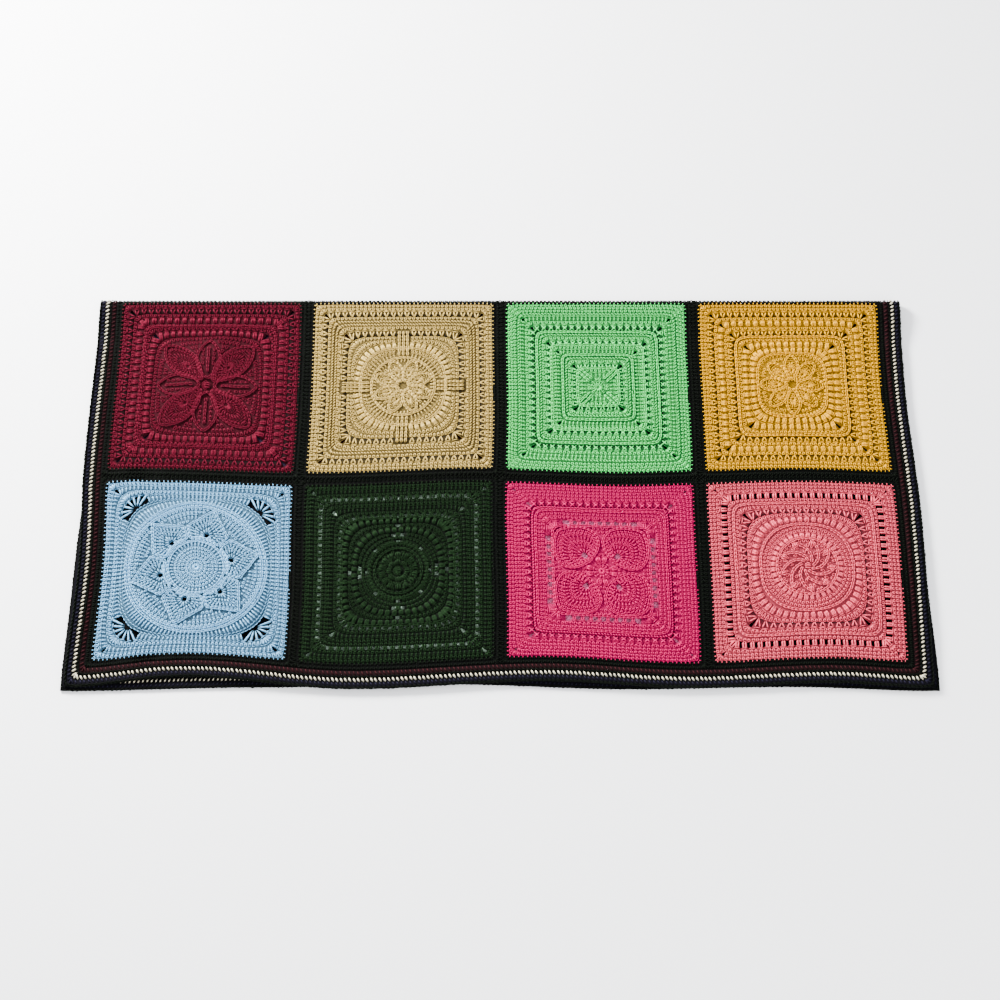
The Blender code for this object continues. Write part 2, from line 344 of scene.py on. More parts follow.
class Fabric:
    """Strands and bands of cloth in flat coordinates, gathered into one mesh."""

    def __init__(self, seed, coarse=False, wrong_side=False, full=False, spread=TONE_SPREAD):
        self.random = np.random.default_rng(seed)
        self.spread = spread
        self.coarse, self.wrong_side, self.full = coarse, wrong_side, full
        self.points, self.faces, self.corners, self.tones, self.slots = [], [], [], [], []
        self.total = 0

    def gather(self, points, faces, corners, tones, slot):
        """Adds one lot of triangles."""
        self.points.append(points)
        self.faces.append(faces + self.total)
        self.corners.append(corners)
        self.tones.append(tones)
        self.slots.append(np.broadcast_to(slot, len(faces)))
        self.total += len(points)

    def strands(self, path, radius, slot=0, tone=1.0):
        """Adds strands: path holds their middle lines (strand, row, coordinate), radius their thickness."""
        if self.coarse:
            rows = [0, path.shape[1] // 2, path.shape[1] - 1]
            path, radius = path[:, rows], radius[:, rows]
        points = tube_points(path, radius)
        faces, corners = tube_faces(path.shape[1] - 2)
        starts = np.arange(len(path)) * points.shape[1]
        length = np.linalg.norm(np.diff(path, axis=1), axis=2).sum(axis=1)
        spread = np.stack([np.ones_like(length), length / YARN_TWIST], axis=1)
        # Painted shade: each strand is painted darker on its flanks and at its ends than on its crest.
        around = [TOP_TONE] + [FLANK_PAINTED_SHADE] * (SIDES - 1)
        painted_shade_around = np.array([END_PAINTED_SHADE] + around * (path.shape[1] - 2) + [END_PAINTED_SHADE])
        shade = tone * np.maximum(1 + self.spread * self.random.standard_normal(len(path)), LEAST_TONE)
        self.gather(
            points.reshape(-1, 3),
            (starts[:, None, None] + faces).reshape(-1, 3),
            (corners * spread[:, None, None]).reshape(-1, 3, 2),
            (shade[:, None] * painted_shade_around).ravel(),
            slot,
        )

    def work(self, stitch, start, end, pitch, relief=1.0, thick=1.0, slot=0, tone=1.0, raised=0.0):
        """Works a stitch, given as its strands, from each start to each end."""
        if not len(start):
            return
        out = end - start
        depth = lengths(out) + TINY
        out = out / depth
        side = np.stack([-out[:, 1], out[:, 0]], axis=1)
        for strand in stitch:
            across, ahead, height, radius = np.array(strand).T
            plan = start[:, None] + side[:, None] * (across * pitch)[:, None]
            plan = plan + out[:, None] * (ahead[None] * depth)[..., None]
            level = np.broadcast_to((height * relief + raised) * MM, plan.shape[:2])
            path = np.concatenate([plan, level[..., None]], axis=2)
            path = path + self.random.standard_normal((len(start), 1, 3)) * LOOSE
            self.strands(path, np.broadcast_to(radius * thick * MM, plan.shape[:2]), slot, tone)

    def band(
        self, outlines, slot=0, high=CLOTH_FRONT, closed=True, back_painted_shade=BACK_TONE, low=CLOTH_BACK,
        back_slot=None, painted_patches=0.0, top_tones=BASE_PAINTED_SHADE,
    ):
        """A solid band of cloth over several outlines, closed on itself or a strip between two ends.

        Its slot is one number, or one for each row between two outlines. Its wrong side can have its own, and
        a painted shade that varies at random from point to point. The right side has one painted shade, or
        one for each outline. Where the first outline is None, the middle is closed.
        """
        hub = outlines[0] is None
        plan = np.stack([outline for outline in outlines if outline is not None])
        count, steps = plan.shape[:2]
        top = np.concatenate([plan, np.full((count, steps, 1), high * MM)], axis=2).reshape(-1, 3)
        under = top * (1, 1, 0) + (0, 0, low * MM)
        points, half = np.concatenate([under, top]), count * steps
        # Painted shade of the wrong side, with painted patches at random where asked, and of the right side.
        tones = np.repeat(np.append(np.full(count, back_painted_shade), np.broadcast_to(top_tones, count)), steps)
        tones[:half] *= 1 - painted_patches * self.random.random(half)
        if hub:
            centre = plan[0].mean(axis=0)
            points = np.concatenate([points, [(*centre, low * MM), (*centre, high * MM)]])
            tones = np.append(tones, [back_painted_shade, BASE_PAINTED_SHADE])
        back, front = band_faces(count, steps, closed, hub)
        faces = np.concatenate([back, front])
        rows = np.minimum(faces % half // steps, count - 2).min(axis=1)
        slots = np.broadcast_to(slot, count - 1)[rows]
        if back_slot is not None:
            slots[:len(back)] = back_slot
        self.gather(points, faces, points[faces][..., :2] / YARN_TWIST, tones, slots)

    def finished(self, name, materials, box):
        """The piece, laid on the folded blanket. The bake map spreads box over the unit square."""
        flat = np.concatenate(self.points)
        faces, corners = np.concatenate(self.faces).astype(np.int32), np.concatenate(self.corners)
        if self.wrong_side:
            flat, faces, corners = flat * (1, 1, -1), faces[:, ::-1].copy(), corners[:, ::-1]
        if self.full:
            room = ROOM_TAKEN * lift(flat[:, 0], SIDE - flat[:, 1])
            flat[:, 2] -= np.where(flat[:, 2] < 0, np.minimum(room, MOST_ROOM), 0)
        laid = place(flat)
        laid[:, 2] = np.maximum(laid[:, 2], 0)
        low, high = np.array(box[0]), np.array(box[1])
        maps = {"Yarn": corners, "OFBake": (flat[faces][..., :2] - low) / (high - low)}
        slots, tones = np.concatenate(self.slots), np.concatenate(self.tones)
        piece = add_object(name, mesh_of(name, laid, faces, slots, tones, maps, materials))
        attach(piece, BODY)
        return piece


# ----------------------- stitches

def both(strand):
    """A strand, and the same one on the other side of its stitch."""
    return [strand, [(-across, *rest) for across, *rest in strand]]


# A stitch is a list of strands. A strand is rows of (across, along, height, radius): across in widths of the
# stitch, along in depths of its round, height above the middle of the cloth and radius in millimetres.
V_LEG = ((0.02, 0.02, 0.4, 0), (-0.12, 0.3, 2, 1.15), (-0.27, 0.64, 2.3, 1.25), (-0.38, 0.94, 0.5, 0))
LOW_LEG = ((0.02, 0.02, 0.4, 0), (-0.12, 0.3, 1.5, 1.15), (-0.27, 0.64, 1.7, 1.25), (-0.38, 0.94, 0.5, 0))
LOW_BAR = ((-0.62, 0.92, 0.8, 0), (-0.22, 0.86, 1.9, 0.8), (0.22, 0.86, 1.9, 0.8), (0.62, 0.92, 0.8, 0))
BAR = ((-0.62, 0.92, 1, 0), (-0.22, 0.84, 2.5, 0.9), (0.22, 0.84, 2.5, 0.9), (0.62, 0.92, 1, 0))
FAR_BAR = ((-0.62, 0.98, 1, 0), (-0.22, 1.03, 2.3, 0.8), (0.22, 1.03, 2.3, 0.8), (0.62, 0.98, 1, 0))
CHAIN = [BAR, FAR_BAR]
POST = ((0, 0, 0.2, 0), (0.04, 0.22, 1.2, 1.7), (-0.04, 0.62, 1.3, 1.7), (0, 0.9, 0.4, 0))
WRAP = ((-0.3, 0.3, 1, 0), (-0.1, 0.42, 2.9, 0.85), (0.1, 0.54, 2.9, 0.85), (0.3, 0.66, 1, 0))
THIN_POST = ((-0.1, -0.1, 0.6, 0), (-0.12, 0.2, 1.3, 1.7), (-0.11, 0.65, 1.4, 1.7), (-0.06, 1, 0.8, 0))
LEAN = ((-0.4, -0.05, 0.6, 0), (-0.2, 0.22, 1.5, 1.7), (0.2, 0.62, 2.3, 1.7), (0.4, 0.95, 0.9, 0))
SPREAD = ((0, -0.1, 0.6, 0), (-0.1, 0.22, 1.6, 1.6), (-0.26, 0.62, 1.8, 1.7), (-0.34, 0.95, 0.8, 0))
ROPE = ((-0.62, 0.12, 1.4, 0), (-0.22, 0.34, 3, 1.35), (0.22, 0.66, 3, 1.35), (0.62, 0.88, 1.4, 0))
FAT = (
    (0, -0.02, 0.8, 0), (-0.16, 0.2, 2, 2), (-0.2, 0.5, 2.6, 2.4), (-0.16, 0.78, 2, 2), (0, 0.98, 0.8, 0),
)
FAT_MID = (
    (0, 0, 0.8, 0), (0.02, 0.25, 3, 1.5), (-0.02, 0.5, 3.7, 1.7), (0.02, 0.72, 3, 1.5), (0, 0.96, 0.8, 0),
)
BLOCK = ((-0.1, -0.05, 0.6, 0), (-0.16, 0.18, 1.2, 2.3), (-0.16, 0.72, 1.3, 2.3), (-0.1, 0.98, 0.8, 0))
BALL_MID = ((0, 0, 1, 0), (0, 0.16, 3.4, 1.6), (0, 0.5, 4.8, 2), (0, 0.84, 3.4, 1.6), (0, 1, 1, 0))
BALL_SIDE = (
    (-0.04, 0.02, 0.8, 0), (-0.26, 0.2, 2.4, 1.6), (-0.34, 0.5, 3.1, 2.1), (-0.26, 0.8, 2.4, 1.6),
    (-0.04, 0.98, 0.8, 0),
)
LINK = ((0, -0.3, 1.2, 0), (-0.2, 0.1, 3, 1.3), (-0.28, 0.65, 3.1, 1.35), (-0.05, 1.15, 1.4, 0))
DASH = ((-0.3, 0, 0.8, 0), (-0.14, 0.28, 1.9, 1.6), (0.14, 0.7, 2, 1.7), (0.3, 1, 0.8, 0))
TOOTH = ((0, 0, 1.2, 0), (0, 0.35, 2.1, 1.3), (0, 0.7, 1.9, 1.2), (0, 1, 1.2, 0))
SPOKE = ((0, 0, 0.8, 0), (0.02, 0.25, 1.4, 1.5), (-0.02, 0.8, 1.4, 2.5), (0, 1.05, 0.8, 0))
LINTEL = ((-0.62, 1, 0.8, 0), (-0.22, 0.96, 2.2, 1), (0.22, 0.96, 2.2, 1), (0.62, 1, 0.8, 0))
RIB = ((0, 0, 0.6, 0), (0, 0.25, 1.4, 1.1), (0, 0.72, 1.9, 1.9), (0, 0.98, 0.6, 0))

STITCHES = {
    "single": both(V_LEG) + [LOW_BAR], "half": both(LOW_LEG), "double": [POST, WRAP] + CHAIN,
    "mesh": both(THIN_POST) + CHAIN, "block": both(BLOCK) + CHAIN, "cross": both(LEAN) + CHAIN,
    "vee": both(SPREAD) + CHAIN, "puff": both(FAT) + [FAT_MID] + CHAIN, "ball": both(BALL_SIDE) + [BALL_MID],
    "link": both(LINK), "spoke": [SPOKE, LINTEL], "rope": [ROPE], "dash": [DASH], "tooth": [TOOTH],
    "rib": [RIB],
}
OPEN_KINDS = {"mesh", "block"}     # no cloth behind these: one looks through them
GAPPED_KINDS = {"cross", "vee"}    # the cloth between the feet of these is painted in deep shade
GAP_PAINTED_SHADES = (0.0, 0.07)            # at their feet and at their tops


# ----------------------- charts of the squares

# Every chart starts in the middle and ends on the square's side, 152.5 mm out. A row of it holds a kind of
# stitch and its rounds: reach in millimetres, shape and, where it isn't the usual one, pitch in millimetres.
START = ("single", (9, 2), (18, 2), (27, 2))            # of four squares
CHARTS = {
    "light_blue": [
        ("single", (7, 2), (13, 2), (19, 2), (25, 2), (31, 2), (37, 2)), ("double", (46, 2), (56, 2)),
        ("single", (63, 2), (70, 2, 6.8)), ("double", (80, 2)), ("single", (86, 2)),
        ("double", (96, 2, 6.8)), ("single", (102, 2), (108, 2), (114.5, 2)),
        ("double", (124, 3.2), (132, 6)), ("single", (138, 10, 6.8)), ("double", (146.5, 18)),
        ("single", (152.5, 50)),
    ],
    "dark_green": [
        START, ("single", (36, 2), (42, 2), (48, 2), (54, 2.1), (60, 2.3), (66, 2.6)),
        ("puff", (76, 3.2)), ("single", (82, 4.2)), ("puff", (92.5, 6.5)), ("block", (99.5, 7.2)),
        ("single", (105.5, 10)), ("double", (114, 14)), ("single", (119.5, 18), (125.5, 22)),
        ("block", (132.5, 25)), ("single", (138.5, 32)), ("double", (146.5, 42)), ("single", (152.5, 50)),
    ],
    "hot_pink": [
        ("single", (6, 2)), ("double", (15, 2)), ("puff", (26, 2)), ("single", (32, 2.1)),
        ("double", (42, 2.3)), ("single", (49, 2.6)), ("double", (58, 3.2)),
        ("single", (65, 4.5), (72, 7), (78, 11)), ("mesh", (90, 13)),
        ("single", (97, 16), (103, 18), (109, 19)), ("rope", (113, 20, 4.6)), ("cross", (124, 21)),
        ("single", (130, 22), (136, 23), (141.5, 24), (147, 25), (152.5, 50)),
    ],
    "salmon": [
        ("single", (10, 2), (20, 2), (30, 2), (40, 2), (48, 2)), ("puff", (60, 2)),
        ("single", (66, 2), (72, 2.2), (78, 2.6)), ("puff", (89, 3.4)), ("single", (95, 5)),
        ("vee", (105, 9)), ("single", (111, 13), (117, 16), (123, 18)), ("block", (135, 20)),
        ("single", (141, 22), (147, 24), (152.5, 50)),
    ],
    "maroon": [
        START, ("single", (36, 2), (45, 2), (54, 2), (62, 2.2), (70, 2.6), (78, 3.2), (86, 4.5), (93, 7)),
        ("puff", (105, 12)), ("single", (111, 15), (117, 17)), ("puff", (129, 19, 12.6)),
        ("single", (135, 21)), ("vee", (146, 24)), ("single", (152.5, 50)),
    ],
    "tan": [
        START, ("single", (36, 2), (45, 2)), ("double", (55, 2), (65, 2.2)),
        ("single", (71, 2.5)), ("puff", (83, 3.2)), ("single", (89, 5), (95, 8, 6.8)), ("vee", (107, 12)),
        ("single", (113, 15)), ("rope", (118.5, 17), (124, 19)), ("single", (130, 21)), ("vee", (141, 23)),
        ("single", (146.5, 25), (152.5, 50)),
    ],
    "mint": [
        ("double", (12, 2.6)), ("single", (18, 4)), ("double", (28, 7)), ("single", (34, 10)),
        ("vee", (45, 12)), ("single", (51, 14)), ("rope", (56.5, 15)), ("single", (62.5, 16)),
        ("double", (72, 17)), ("single", (78, 18, 6.8)), ("cross", (89, 18)), ("single", (95, 19)),
        ("rope", (100, 20)), ("single", (106, 21)), ("cross", (117, 22)), ("single", (123, 23)),
        ("double", (132, 24)), ("rope", (137, 25)), ("single", (143, 25), (148, 26), (152.5, 50)),
    ],
    "mustard": [
        START, ("single", (36, 2.1), (45, 2.3), (53, 2.8), (60, 4)),
        ("puff", (72, 6), (84, 9)), ("single", (90, 12)), ("rope", (95.5, 13)), ("vee", (106, 15)),
        ("single", (112, 17)), ("puff", (123, 19, 12.4)), ("single", (129, 21)), ("vee", (140, 23)),
        ("single", (146.5, 25), (152.5, 50)),
    ],
}
PLAIN_CHART = [
    ("half", (12, 2.4), (23, 4), (34, 7), (45, 10), (56, 12), (67, 14), (78, 16), (89, 18), (100, 20)),
    ("half", (111, 22), (122, 24), (133, 25), (143, 26), (152.5, 50)),
]
PITCHES = {               # the usual ones
    "single": 6.9, "half": 9.5, "double": 6.9, "puff": 11.75, "rope": 5.2, "cross": 12.1, "vee": 12.4,
    "mesh": 12.6, "block": 12.4,
}
LAST_PITCH = 0.0069       # of a square's last round, and of the joining and the edging beyond it

# Holes in a round, by its reach: how many, turned by which share of their spacing, how wide along the round
# in millimetres, and how many strands of which kind lie across each.
Opening = namedtuple("Opening", "count turn width spokes kind", defaults=[0, "block"])
CORNER_HOLE = Opening(4, 0.5, 7)
CORNER_HOLES = {
    "light_blue": [146.5], "dark_green": [114, 146.5], "hot_pink": [124, 147], "salmon": [105, 147],
    "maroon": [105, 146], "tan": [107, 141], "mint": [45, 72, 89, 117, 132], "mustard": [84, 106, 123, 140],
}
OPENINGS = {name: dict.fromkeys(reaches, CORNER_HOLE) for name, reaches in CORNER_HOLES.items()}
OPENINGS["light_blue"] |= {63: Opening(6, 0.25, 8), 132: Opening(4, 0.5, 68, 7, "spoke")}
OPENINGS["dark_green"] |= {54: Opening(8, 0, 7), 66: Opening(4, 0, 22, 1), 82: Opening(4, 0, 8)}
OPENINGS["hot_pink"] |= {42: Opening(4, 0.5, 11), 90: Opening(4, 0, 122, 8, "mesh")}

HUB_REACH = 0.001         # the ring of yarn in the middle, where a chart starts
FAN_HUB = 0.0052          # from the foot of a fan to where its strands start
ARC_STEP = 0.012          # strips of cloth between openings are cut about this often
TEETH = 0.0035            # the last stitches' legs reach so far over the joining

# Where bands of cloth are cut along each side, from -1 at one corner to 1 at the next, that one left out.
EVEN_STOPS = np.linspace(-1, 1, 17)[:-1]
NEAR_CORNER = 1 - np.array([0, 2.5, 6, 10, 16]) * MM / (PITCH / 2)
CORNER_STOPS = np.concatenate([-NEAR_CORNER, np.linspace(-0.8, 0.8, 8), NEAR_CORNER[:0:-1]])
FOLD_SHARE = 0.03         # the fold lies nearer than this to the middle of a side
BESIDE_FOLD = 0.04        # wider steps start here
FOLD_STOPS = np.concatenate([
    np.linspace(-1, -BESIDE_FOLD, 20), np.linspace(-FOLD_SHARE, FOLD_SHARE, 13),
    np.linspace(BESIDE_FOLD, 1, 20)[:-1],
])

# A round: the outlines that it starts and ends on, and its stitches' places and pitch along the outer one.
Round = namedtuple("Round", "kind reach inner outer run pitch")


def rounds_of(chart):
    """The rounds of a chart, from the middle outwards."""
    inner = Loop(HUB_REACH, CIRCLE)
    for kind, *row in chart:
        for reach, shape, *own_pitch in row:
            outer = Loop(reach * MM, shape)
            pitch = own_pitch[0] if own_pitch else PITCHES[kind]
            run = evenly(outer, pitch * MM)
            yield Round(kind, reach, inner, outer, run, outer.length / len(run))
            inner = outer


def crochet(base, yarn, name, middle):
    """Works a square's chart about its middle, leaving out what its raised motifs cover."""
    outlines = [None]
    for row in rounds_of(CHARTS[name]):
        opening = OPENINGS[name].get(row.reach)
        run = row.run[~in_openings(row.run, row.outer, opening)] if opening else row.run
        start, end = stations(row.inner, row.outer, run)
        bare = ~hidden(start + (end - start) / 2, RAISED[name])
        yarn.work(STITCHES[row.kind], middle + start[bare], middle + end[bare], row.pitch)
        if opening or row.kind in OPEN_KINDS:
            if len(outlines) > 1:
                base.band(outlines)
            outlines = []
        outlines.append(ring(middle, row.outer))
        if opening:
            work_openings(base, yarn, row, opening, middle)
    base.band(outlines)
    last = row.outer
    start, end = stations(last, Loop(last.reach + TEETH, last.shape), evenly(last, LAST_PITCH))
    yarn.work(STITCHES["tooth"], middle + start, middle + end, TEETH)


def plain_square(base, yarn, back, middle):
    """A square underneath, pressed flat by the surface. Its wrong side has stitches where back is given."""
    outlines = [None]
    for row in rounds_of(PLAIN_CHART):
        start, end = stations(row.inner, row.outer, row.run)
        stitches = STITCHES[row.kind], middle + start, middle + end, row.pitch, UNDER_RELIEF, UNDER_THICK
        yarn.work(*stitches)
        if back:
            # Painted light: the stitches seen through the holes are painted brighter.
            back.work(*stitches, tone=INNER_PAINTED_LIGHT, raised=INNER_RAISED)
        outlines.append(ring(middle, row.outer))
    if back:
        # Painted shade: the wrong side seen through the holes is painted darker, more so in random patches.
        base.band(outlines, back_painted_shade=PAINTED_BACK_SHADE, low=THIN_BACK, back_slot=1, painted_patches=PAINTED_BACK_PATCHES)
    else:
        base.band(outlines, back_painted_shade=HIDDEN_PAINTED_SHADE)


def in_openings(run, outer, opening):
    """Which places along a round lie in its openings."""
    step = outer.length / opening.count
    from_middle = np.mod(run - opening.turn * step + step / 2, step) - step / 2
    return np.abs(from_middle) < opening.width * MM / 2


def work_openings(base, yarn, row, opening, middle):
    """Strips of cloth between a round's openings, and the strands across these."""
    step = row.outer.length / opening.count
    half = opening.width * MM / 2
    # Painted shade: in crossed rounds the strips are painted almost black at the stitches' feet.
    painted_shades = GAP_PAINTED_SHADES if row.kind in GAPPED_KINDS else BASE_PAINTED_SHADE
    for k in range(opening.count):
        centre = (k + opening.turn) * step
        run = np.linspace(centre + half, centre + step - half, 2 + int((step - 2 * half) / ARC_STEP))
        strip = [middle + points for points in stations(row.inner, row.outer, run)]
        base.band(strip, closed=False, top_tones=painted_shades)
        if opening.kind == "spoke":
            foot = stations(row.inner, row.outer, np.full(1, centre))[0]
            foot = foot * (1 + FAN_HUB / 2 / np.linalg.norm(foot))
            end = row.outer.at(centre + np.linspace(-half, half, opening.spokes))
            away = end - foot
            start = foot + FAN_HUB * away / lengths(away)
        else:
            across = centre + np.linspace(-half, half, opening.spokes + 2)[1:-1]
            start, end = stations(row.inner, row.outer, across)
        yarn.work(STITCHES[opening.kind], middle + start, middle + end, 2 * half / (opening.spokes + 1))


def ring(middle, loop, stops=EVEN_STOPS):
    """Points of an outline at the stops of each of its four sides."""
    run = (2 * np.arange(4)[:, None] + stops).ravel() * loop.half
    return middle + loop.at(run)


# ----------------------- raised motifs

LINK_STEP = 0.0066        # length of one link of a raised chain
CHAIN_WIDTH = 5.6         # of the chains about the leaves, in millimetres
# painted highlight: raised chains are painted a little lighter than their yarn
CHAIN_PAINTED_HIGHLIGHT = 1.08
BALL_SHARE = 0.42         # of a bobble's size, from its middle, where no stitches are worked
GROOVE = 0.0046           # no stitches are worked nearer than this to the middle of a motif's chain
HOOP_GROOVE = 0.0018      # nor than this to a hoop's, which lies where two rounds meet
FAN_PITCH = 0.0066
# painted shade: the stitches inside raised leaves are painted a little darker
FAN_PAINTED_SHADE = 0.92
FAN_SHORTEST = 0.0015     # stitches shorter than this are left out
LEAF_STEPS = 48           # places along the lines of motifs of each kind
SWIRL_STEPS = 40
STAR_FOOT_STEPS = 12
HOOP_STEPS = 200
SWIRL_BEND = 0.8          # below 1, a swirl's arms turn faster near the middle


def lengths(vectors):
    """How long vectors are, as a column."""
    return np.linalg.norm(vectors, axis=1, keepdims=True)


def polar(degrees, reach):
    """Points at angles and distances in millimetres from the middle of a square."""
    angle = np.radians(degrees)
    return np.stack([np.cos(angle) * reach, np.sin(angle) * reach], axis=-1) * MM


def spaced(path, step):
    """Points at equal steps along a line."""
    run = run_along(path)
    return between(np.linspace(0, run[-1], max(2, round(run[-1] / step)) + 1), run, path)


def leaf(foot, tip, half_width, belly, point):
    """A leaf along the first axis, from its foot over one side, the tip and the other side back to the foot.

    Its ends are pointed where belly (for the foot) or point (for the tip) is 1, and blunter for less.
    """
    up = np.linspace(0, 1, LEAF_STEPS)
    bulge = up ** belly * (1 - up) ** point
    bulge *= half_width / bulge.max()
    side = np.stack([foot + (tip - foot) * up, bulge], axis=1) * MM
    return np.concatenate([side, (side * (1, -1))[::-1][1:-1]])


def point_of_star(foot, shoulder, tip, half_angle):
    """One point of a star along the first axis, with its foot on a circle and straight sides."""
    sides = polar(np.array([-half_angle, 0, half_angle]), np.array([shoulder, tip, shoulder]))
    return np.concatenate([sides, polar(np.linspace(half_angle, -half_angle, STAR_FOOT_STEPS), foot)])


def swirl(count, turn, near, far, twist):
    """Curved arms that turn as they leave the middle."""
    share = np.linspace(0, 1, SWIRL_STEPS)
    bend = twist * share ** SWIRL_BEND
    return [polar(turn + 360 * k / count + bend, near + (far - near) * share) for k in range(count)]


def rays(count, turn, near, far, beside, lines):
    """Straight ribs that leave the middle side by side."""
    offsets = (np.arange(lines) - (lines - 1) / 2) * beside
    return [
        turned(np.array([(near, offset), (far, offset)]) * MM, turn + 360 * k / count)
        for k in range(count) for offset in offsets
    ]


def petals(count, turn, outline):
    """The same closed outline at equal turns about the middle."""
    closed = np.concatenate([outline, outline[:1]])
    return [turned(closed, turn + 360 * k / count) for k in range(count)]


def turned(points, degrees):
    """Points turned about the middle."""
    c, s = math.cos(math.radians(degrees)), math.sin(math.radians(degrees))
    return points @ np.array([(c, s), (-s, c)])


# Raised motifs. Distances are in millimetres, and raised is the height above that of the cloth's stitches.
# Chains may be the outlines of leaves, with rounds of stitches inside: kinds and shares of the outline. These
# lie about a heart, at that distance from the square's middle, with an open eye in it.
CHAINS_USUAL = [CHAIN_WIDTH, GROOVE, 0, 0, ()]
Chains = namedtuple("Chains", "lines raised width groove heart eye rounds", defaults=CHAINS_USUAL)
Balls = namedtuple("Balls", "count reach shape size turn")      # turn in bobbles


def hoop(reach, shape, raised):
    """A chain round the middle."""
    loop = Loop(reach * MM, shape)
    return Chains([loop.at(np.linspace(0, loop.length, HOOP_STEPS))], raised, groove=HOOP_GROOVE)


def fans(count, turn, outline, heart, eye, rounds, raised):
    """Leaves or points of a star, the first of them turned by some degrees."""
    return Chains(petals(count, turn, outline), raised, heart=heart, eye=eye, rounds=rounds)


RAISED = {
    "light_blue": [
        fans(
            6, 15, point_of_star(52, 75, 106, 27.6), 59.5, 3.8,
            [("rib", 0.38), ("double", 0.64), ("double", 0.88)], 1,
        ),
        hoop(47, 2, 0.3), hoop(109, 2, 0.3), hoop(116, 2, 0.3),
    ],
    "dark_green": [
        Balls(1, 0, 2, 11, 0), Balls(8, 15, 2, 10, 0), Balls(14, 28, 2, 10.5, 0.5), hoop(39, 2, 0.3),
        hoop(48, 2, 0.3), hoop(92.5, 6.5, 0.5),
    ],
    "hot_pink": [
        fans(
            4, 45, leaf(25, 98, 40, 0.55, 0.8), 37, 4.4,
            [("rib", 0.26), ("double", 0.44), ("single", 0.56), ("double", 0.74), ("single", 0.85),
             ("half", 0.95)], 0.8,
        ),
        hoop(79, 12, 0.4), hoop(106, 18, 0.4),
    ],
    "salmon": [
        Chains(swirl(9, 0, 9, 47, 80), 1.1, 6.4), Balls(1, 0, 2, 12, 0), Balls(9, 40, 2, 10, 0.9),
        hoop(49, 2, 0.9), hoop(75, 2.4, 0.3), hoop(114, 15, 0.3),
    ],
    "maroon": [
        fans(
            4, 45, leaf(12, 106, 22, 0.9, 0.8), 48, 1.8,
            [("double", 0.4), ("double", 0.75), ("single", 0.9)], 0.9,
        ),
        Chains(petals(4, 0, leaf(12, 84, 20, 0.8, 0.8)), 0.9, 6), Chains(rays(4, 0, 24, 72, 0, 1), 0.6, 6),
        Balls(1, 0, 2, 12, 0), hoop(112, 15, 0.3),
    ],
    "tan": [
        fans(8, 22.5, leaf(8, 52, 11, 0.9, 0.8), 26, 1, [("double", 0.8)], 0.7),
        Chains(rays(4, 0, 58, 104, 7, 3), 0.7), hoop(72, 2.6, 0.4), hoop(54, 2, 0.4),
    ],
    "mint": [
        Chains(rays(4, 45, 18, 44, 7, 2), 0.5), hoop(35, 10, 0.4), hoop(60, 15, 0.5), hoop(79, 18, 0.4),
        hoop(103, 20, 0.5),
    ],
    "mustard": [
        fans(8, 0, leaf(8, 56, 12, 0.9, 0.8), 26, 1, [("double", 0.8)], 0.7), hoop(59, 3.6, 0.6),
        hoop(93, 12.5, 0.4),
    ],
}


def hidden(points, motifs):
    """Which points raised motifs cover, with a groove beside the chains."""
    covered = np.zeros(len(points), bool)
    for motif in motifs:
        if isinstance(motif, Balls):
            covered |= nearest(points, ball_spots(motif)) < motif.size * MM * BALL_SHARE
            continue
        for line in motif.lines:
            covered |= nearest(points, spaced(line, LINK_STEP / 3)) < motif.groove
            if motif.rounds:
                covered |= inside(points, line)
    return covered


def nearest(points, others):
    """The distance from each point to the nearest other one."""
    return np.linalg.norm(points[:, None] - others[None], axis=2).min(axis=1)


def inside(points, outline):
    """Which points lie inside a closed line."""
    x, y = points[:, :1], points[:, 1:]
    (from_x, from_y), (to_x, to_y) = outline[:-1].T, outline[1:].T
    spans = (from_y > y) != (to_y > y)
    rise = np.where(to_y == from_y, 1.0, to_y - from_y)
    at = from_x + (y - from_y) * (to_x - from_x) / rise
    return (spans & (x < at)).sum(axis=1) % 2 == 1


def ball_spots(motif):
    """Where bobbles stand."""
    loop = Loop(max(motif.reach * MM, HUB_REACH), motif.shape)
    return loop.at((np.arange(motif.count) + motif.turn) / motif.count * loop.length)


def raise_motifs(yarn, motifs, middle):
    """Works raised leaves, chains and bobbles on the front of a square."""
    for motif in motifs:
        if isinstance(motif, Balls):
            spots = ball_spots(motif)
            half = spots / lengths(spots) * motif.size * MM / 2
            yarn.work(STITCHES["ball"], middle + spots - half, middle + spots + half, motif.size * MM)
            continue
        for line in motif.lines:
            if motif.rounds:
                work_fan(yarn, motif, line, middle)
            points = middle + spaced(line, LINK_STEP)
            width = motif.width * MM
            # The chain's strands carry a painted highlight.
            yarn.work(STITCHES["link"], points[:-1], points[1:], width, tone=CHAIN_PAINTED_HIGHLIGHT, raised=motif.raised)


def work_fan(yarn, motif, line, middle):
    """Rounds about the heart of a leaf, smaller copies of its outline. The eye in the heart stays open."""
    axis = line[:-1].mean(axis=0)
    heart = axis / np.linalg.norm(axis) * motif.heart * MM
    inner = 0.0
    for kind, outer in motif.rounds:
        edge = spaced((line - heart) * outer, FAN_PITCH)[:-1]
        length = lengths(edge)
        start = edge * np.maximum(inner / outer, motif.eye * MM / length)
        kept = np.linalg.norm(edge - start, axis=1) > FAN_SHORTEST
        kept &= (length > motif.eye * MM).ravel()
        start, end = middle + heart + start[kept], middle + heart + edge[kept]
        # The leaf's stitches carry a painted shade.
        yarn.work(STITCHES[kind], start, end, FAN_PITCH, tone=FAN_PAINTED_SHADE, raised=motif.raised)
        inner = outer


# ----------------------- yarn

# Linear colour, its paler fibres, the fuzz, and how deep the painted shade between strands is.
Dye = namedtuple("Dye", "colour light fuzz depth", defaults=[1.0])

